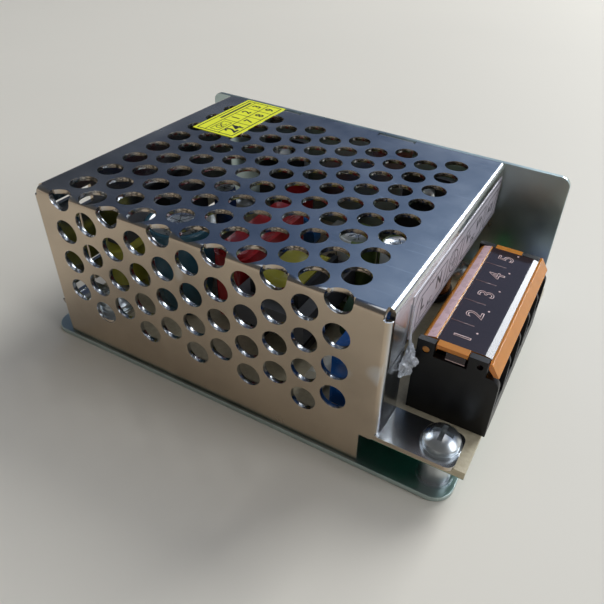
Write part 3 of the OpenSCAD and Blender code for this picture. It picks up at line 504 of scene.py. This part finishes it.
# ---------- terminal lid ----------
def terminal_lid():
    """The amber lid: hinge barrel and ridge, smoky plate rolled down at its outer edge, and a skirt."""
    low, high = box_mm("terminal_lid")
    top, wall = high.z, 1.4
    barrel = 1.5
    hinge = (low.x + barrel, low.z + barrel)
    ridge_end, roll_start, plate_end = low.x + 2.5, high.x - 3.5, high.x - 1.75
    clear, amber, frost, mark = 0, 1, 2, 3
    tongue_start, tongue_end = low.x + 3.05, low.x + 8.05
    latch_start, latch_end = low.x + 4.7, low.x + 7.8
    latch_foot, latch_edge = top - 2.4, top - 2.22
    pin_radius = 0.6
    under = top - 0.9
    shape = [(hinge[0] + barrel * math.cos(math.radians(a)), hinge[1] + barrel * math.sin(math.radians(a)))
             for a in range(-20, -201, -15)]
    shape += [(low.x + 0.45, top - 0.75), (low.x + 1.0, top - 0.32), (ridge_end - 0.15, top),
              (ridge_end, top - 0.02), (ridge_end + 0.1, top - 0.16)]
    roll = 5.4
    shape += [(roll_start + roll * math.sin(math.radians(a)),
               top - 0.16 - roll * (1 - math.cos(math.radians(a))))
              for a in range(0, 19, 3)]
    shape += [(plate_end, top - 0.45), (plate_end, under - 0.1), (ridge_end + 0.5, under)]

    def zone(centre):
        if abs(centre.y - low.y) < 2 * wall or abs(centre.y - high.y) < 2 * wall:
            return amber
        if centre.x < low.x + 0.75 or centre.z < under - 0.05:
            return amber
        if centre.x < ridge_end - 0.1:
            return frost
        return amber if centre.x < ridge_end + 0.15 else clear

    bm = bmesh.new()
    prism(bm, shape, low.y + wall, high.y - wall, zone)
    skirt = [(plate_end - 0.1, top - 0.28), (plate_end + 0.35, top - 0.22), (high.x, top - 2.4),
             (high.x - 0.85, top - 2.4), (plate_end - 0.1, top - 1.2)]
    prism(bm, skirt, low.y, high.y, lambda centre: amber)
    ends = ((low.y, low.y + wall + 0.05, low.y), (high.y - wall - 0.05, high.y, high.y - 0.5))
    for near, far, tab in ends:
        slab(bm, (tongue_start, near, under), (tongue_end, far, top - 0.14), amber)
        slab(bm, (latch_start, tab, top - 2.3), (latch_end, tab + 0.5, under), clear)
        # a thin pale strip at each latch tab's lower edge: painted edge highlight
        slab(bm, (latch_start, tab - 0.01, latch_foot), (latch_end, tab + 0.51, latch_edge), mark)
    for near, far in ((low.y + 0.1, low.y + wall), (high.y - wall, high.y - 0.1)):
        pin = [(hinge[0] + pin_radius * math.cos(a * math.pi / 12),
                hinge[1] + pin_radius * math.sin(a * math.pi / 12)) for a in range(24)]
        prism(bm, pin, near, far, lambda centre: amber)
    piece = add_piece("lid_of_amber_plastic", bm, [smoky, looks["amber_plastic"], frosted, moulded],
                      "lid", "terminal_lid")
    round_edges(piece, 0.06, 35, 0.01)

    # moulded numbers in outline, with a dot each, in a pale colour that paints the highlight on their
    # raised edges, and the faint ribs between the ways
    ways, pitch = 5, 6.35
    plate = facing((0, 1, 0), (-1, 0, 0), (0, 0, top - 0.16))
    bm = bmesh.new()
    first = (low.y + high.y) / 2 - (ways - 1) / 2 * pitch
    for way in range(ways):
        y = first + way * pitch
        words(bm, plate, str(way + 1), (y - 0.2, -(low.x + 6.0)), 3.9, 0.0, 0.07)
        words(bm, plate, ".", (y + 1.7, -(low.x + 6.9)), 3.0, 0.03)
    for way in range(ways - 1):
        y = first + (way + 0.5) * pitch
        stroke(bm, plate, (y, -(low.x + 2.9)), (y, -(low.x + 6.6)), 0.22, 0.015, 1)
    add_piece("lid_numbers", bm, [moulded, faint], "lid")


terminal_lid()


# ---------- glue ----------
def crumpled_glue():
    """Clear glue, crumpled in the corner by the block, with a string pulled up the film's edge."""
    voxel, fold_depth, folds_per_metre = 0.2, 1.1, 620
    lip = box_mm("terminal_label")[0].x
    near = box_mm("terminal_body")[0].y
    board = box_mm("circuit_board")[1].z
    # each lump: place out from the lip, out from the block and up from the board, then its radius
    lumps = [(0.9, -1.6, 13.2, 1.15), (1.2, -2.5, 12.2, 1.45), (1.0, -3.7, 11.6, 1.25),
             (1.5, -1.7, 11.6, 1.1), (1.1, -2.9, 10.6, 1.15), (0.8, -4.6, 11.0, 0.75),
             (1.5, -1.2, 10.7, 0.75), (0.7, -1.2, 14.3, 0.6)]
    bm = bmesh.new()
    for x, y, z, radius in lumps:
        bmesh.ops.create_icosphere(bm, subdivisions=3, radius=radius * MM,
                                   matrix=Matrix.Translation(Vector((lip + x, near + y, board + z)) * MM))
    rough = bpy.data.meshes.new("rough_glue")
    bm.to_mesh(rough)
    bm.free()
    holder = bpy.data.objects.new("rough_glue", rough)
    scene.collection.objects.link(holder)
    join = holder.modifiers.new("join", "REMESH")
    join.mode = "VOXEL"
    join.voxel_size = voxel * MM
    bpy.context.view_layer.update()
    joined = bpy.data.meshes.new_from_object(holder.evaluated_get(bpy.context.evaluated_depsgraph_get()))
    bpy.data.objects.remove(holder)
    bm = bmesh.new()
    bm.from_mesh(joined)
    bmesh.ops.recalc_face_normals(bm, faces=bm.faces)
    bm.normal_update()
    for vertex in bm.verts:
        place = vertex.co * folds_per_metre
        fold = abs(noise.noise(place)) + 0.5 * abs(noise.noise(place * 2.3 + Vector((5, 1, 2))))
        vertex.co -= vertex.normal * (fold * fold_depth * MM)
        vertex.co.x = max(vertex.co.x, (lip + 0.14) * MM)
        vertex.co.y = min(vertex.co.y, (near - 0.03) * MM)
    bmesh.ops.dissolve_limit(bm, angle_limit=math.radians(12), verts=bm.verts, edges=bm.edges)
    bmesh.ops.triangulate(bm, faces=bm.faces)
    path = [(0.7, -1.3, 13.8, 0.36), (0.5, -1.35, 15.2, 0.26), (0.35, -1.25, 16.8, 0.19),
            (0.27, -1.05, 19.0, 0.15), (0.24, -0.9, 21.4, 0.11)]
    rings = []
    for x, y, z, radius in path:
        rings.append([bm.verts.new(Vector((lip + x + radius * math.cos(i * math.pi / 4),
                                           near + y + radius * math.sin(i * math.pi / 4), board + z)) * MM)
                      for i in range(8)])
    for below, above in zip(rings, rings[1:]):
        for i in range(8):
            bm.faces.new((below[i], below[(i + 1) % 8], above[(i + 1) % 8], above[i]))
    bm.faces.new(rings[-1])
    bm.faces.new(reversed(rings[0]))
    add_piece("crumpled_glue", bm, [looks["clear_glue"]], "case", "hot_glue", smooth=False)


crumpled_glue()


# ---------- capacitors ----------
def capacitors(name, node, centres, radius, sleeve, stripe_at):
    """Standing capacitors: a shrunk sleeve with a pale stripe, a crimped neck and a metal top whose vent
    scores are dark strokes of painted groove shade.
    """
    low, high = box_mm(node)
    board, top = box_mm("circuit_board")[1].z + 0.3, high.z
    metal_top = radius * 0.852
    bm = bmesh.new()
    profile = [(0, board), (radius - 0.5, board), (radius - 0.1, board + 0.25), (radius, board + 0.7),
               (radius, board + 1.4), (radius * 0.94, board + 1.8), (radius, board + 2.2),
               (radius, top - 0.5), (radius - 0.12, top - 0.16), (radius - 0.4, top), (radius * 0.86, top),
               (radius * 0.85, top - 0.22), (radius * 0.3, top - 0.2), (0, top - 0.2)]

    def zone(at_radius, height, angle):
        if at_radius < metal_top and height > board + 1:
            return 1
        return 2 if abs(angle - stripe_at) < 0.07 and height > board + 2.2 else 0

    for x, y in centres:
        lathe(bm, profile, (x, y), 56, zone)
        score = facing((1, 0, 0), (0, 1, 0), (x, y, top - 0.2))
        # vent scores: dark strokes painted as the shade in the grooves, not cut into the top
        for turn in (0, 60, 120):
            reach = Vector((math.cos(math.radians(turn)), math.sin(math.radians(turn)))) * radius * 0.55
            stroke(bm, score, tuple(-reach), tuple(reach), 0.16, 0.02, 3)
        for side in (-1, 1):
            lathe(bm, [(0, low.z), (0.3, low.z), (0.3, board + 0.1), (0, board + 0.1)],
                  (x + side * radius * 0.4, y), 12, lambda *place: 1)
    add_piece(name, bm, [sleeve, aluminium, pale_stripe, ink], "case", node)


def centres_of(node, radius, count):
    """The axes of one or two round bodies that fill a node's box along X."""
    low, high = box_mm(node)
    if count == 1:
        return [((low.x + high.x) / 2, (low.y + high.y) / 2)]
    return [(low.x + radius, low.y + radius), (high.x - radius, high.y - radius)]


for name, node, count, stripe_at in (("bulk_capacitor_sleeved", "bulk_capacitor", 1, 0.12),
                                     ("output_capacitors_sleeved", "output_capacitors", 2, 0.68),
                                     ("aux_capacitor_sleeved", "aux_capacitor", 1, 0.3)):
    low, high = box_mm(node)
    radius = (high.x - low.x) / 2 if count == 1 else 4.0
    capacitors(name, node, centres_of(node, radius, count), radius, looks[slot_of[node]], stripe_at)


# ---------- studio ----------
def studio():
    """A pale floor, soft lamps, and a quiet slate-blue room for the metal to reflect."""
    floor_mesh = bpy.data.meshes.new("floor")
    bm = bmesh.new()
    bmesh.ops.create_grid(bm, x_segments=1, y_segments=1, size=4.0)
    bm.to_mesh(floor_mesh)
    bm.free()
    floor = bpy.data.objects.new("floor", floor_mesh)
    floor.location.z = -0.00005
    scene.collection.objects.link(floor)
    floor_mesh.materials.append(surface("floor_look", (0.74, 0.69, 0.60), (0.6, 0.72), 0, 0.02, 4, 300,
                                        4e-6))

    horizon = (0.60, 0.57, 0.52, 1)
    window_azimuth, window_rise = math.radians(80), 0.95
    world = bpy.data.worlds.new("room")
    world.use_nodes = True
    scene.world = world
    tree = world.node_tree
    sky = tree.nodes["Background"]
    coord = tree.nodes.new("ShaderNodeTexCoord")
    toward = tree.nodes.new("ShaderNodeVectorMath")
    toward.operation = "DOT_PRODUCT"
    window = Vector((math.cos(window_azimuth), math.sin(window_azimuth), window_rise))
    toward.inputs[1].default_value = window.normalized()
    tree.links.new(coord.outputs["Generated"], toward.inputs[0])
    glow = tree.nodes.new("ShaderNodeValToRGB")
    stops = [(0.40, (0.09, 0.09, 0.09)), (0.58, (0.045, 0.05, 0.06)), (0.74, (0.04, 0.06, 0.11)),
             (0.86, (0.085, 0.13, 0.23)), (0.94, (0.22, 0.31, 0.47)), (1.0, (0.42, 0.58, 0.82))]
    while len(glow.color_ramp.elements) < len(stops):
        glow.color_ramp.elements.new(0.5)
    for element, (place, colour) in zip(glow.color_ramp.elements, stops):
        element.position = place
        element.color = (*colour, 1)
    tree.links.new(toward.outputs["Value"], glow.inputs["Fac"])
    # paler towards the horizon, as a studio backdrop is
    split = tree.nodes.new("ShaderNodeSeparateXYZ")
    tree.links.new(coord.outputs["Generated"], split.inputs["Vector"])
    low = tree.nodes.new("ShaderNodeMapRange")
    low.inputs["From Min"].default_value = 0.16
    low.inputs["From Max"].default_value = 0.30
    tree.links.new(split.outputs["Z"], low.inputs["Value"])
    mix = tree.nodes.new("ShaderNodeMixRGB")
    tree.links.new(low.outputs["Result"], mix.inputs["Fac"])
    mix.inputs[1].default_value = horizon
    tree.links.new(glow.outputs["Color"], mix.inputs[2])
    tree.links.new(mix.outputs["Color"], sky.inputs["Color"])

    def lamp(name, place, aim, size, power, colour=(1, 1, 1)):
        data = bpy.data.lights.new(name, "AREA")
        data.shape = "RECTANGLE"
        data.size, data.size_y = size
        data.energy = power
        data.color = colour
        made = bpy.data.objects.new(name, data)
        made.location = place
        made.rotation_euler = (Vector(aim) - Vector(place)).to_track_quat("-Z", "Y").to_euler()
        scene.collection.objects.link(made)

    lamp("overhead", (0.1, 0.2, 1.2), (0, 0, 0), (0.8, 0.8), 1.6, (1.0, 0.96, 0.90))
    lamp("window", (0.40, 1.15, 0.95), (0.04, 0, 0.02), (0.6, 0.8), 19, (0.95, 0.98, 1.0))
    lamp("side_window", (1.35, 0.10, 0.85), (0, 0, 0), (0.7, 0.7), 9, (0.88, 0.93, 1.0))


studio()


# ---------- camera ----------
def photo_camera():
    """The photograph's camera, worked out from the case's edges and its grid of vent holes."""
    place = Vector((49.564, -86.673, 82.071)) * MM
    data = bpy.data.cameras.new("camera")
    data.sensor_width = 36
    data.lens = 35.555
    data.shift_x = -0.0675
    data.shift_y = -0.0151
    data.clip_start = 0.005
    camera = bpy.data.objects.new("camera", data)
    right = Vector((0.88494, 0.46266, 0.05313)).normalized()
    back = Vector((0.34239, -0.72372, 0.59917)).normalized()
    up = back.cross(right).normalized()
    right = up.cross(back)
    turn = Matrix((right, up, back)).transposed().to_4x4()
    camera.matrix_world = Matrix.Translation(place) @ turn
    scene.collection.objects.link(camera)
    scene.camera = camera


photo_camera()
scene.view_settings.view_transform = "Standard"
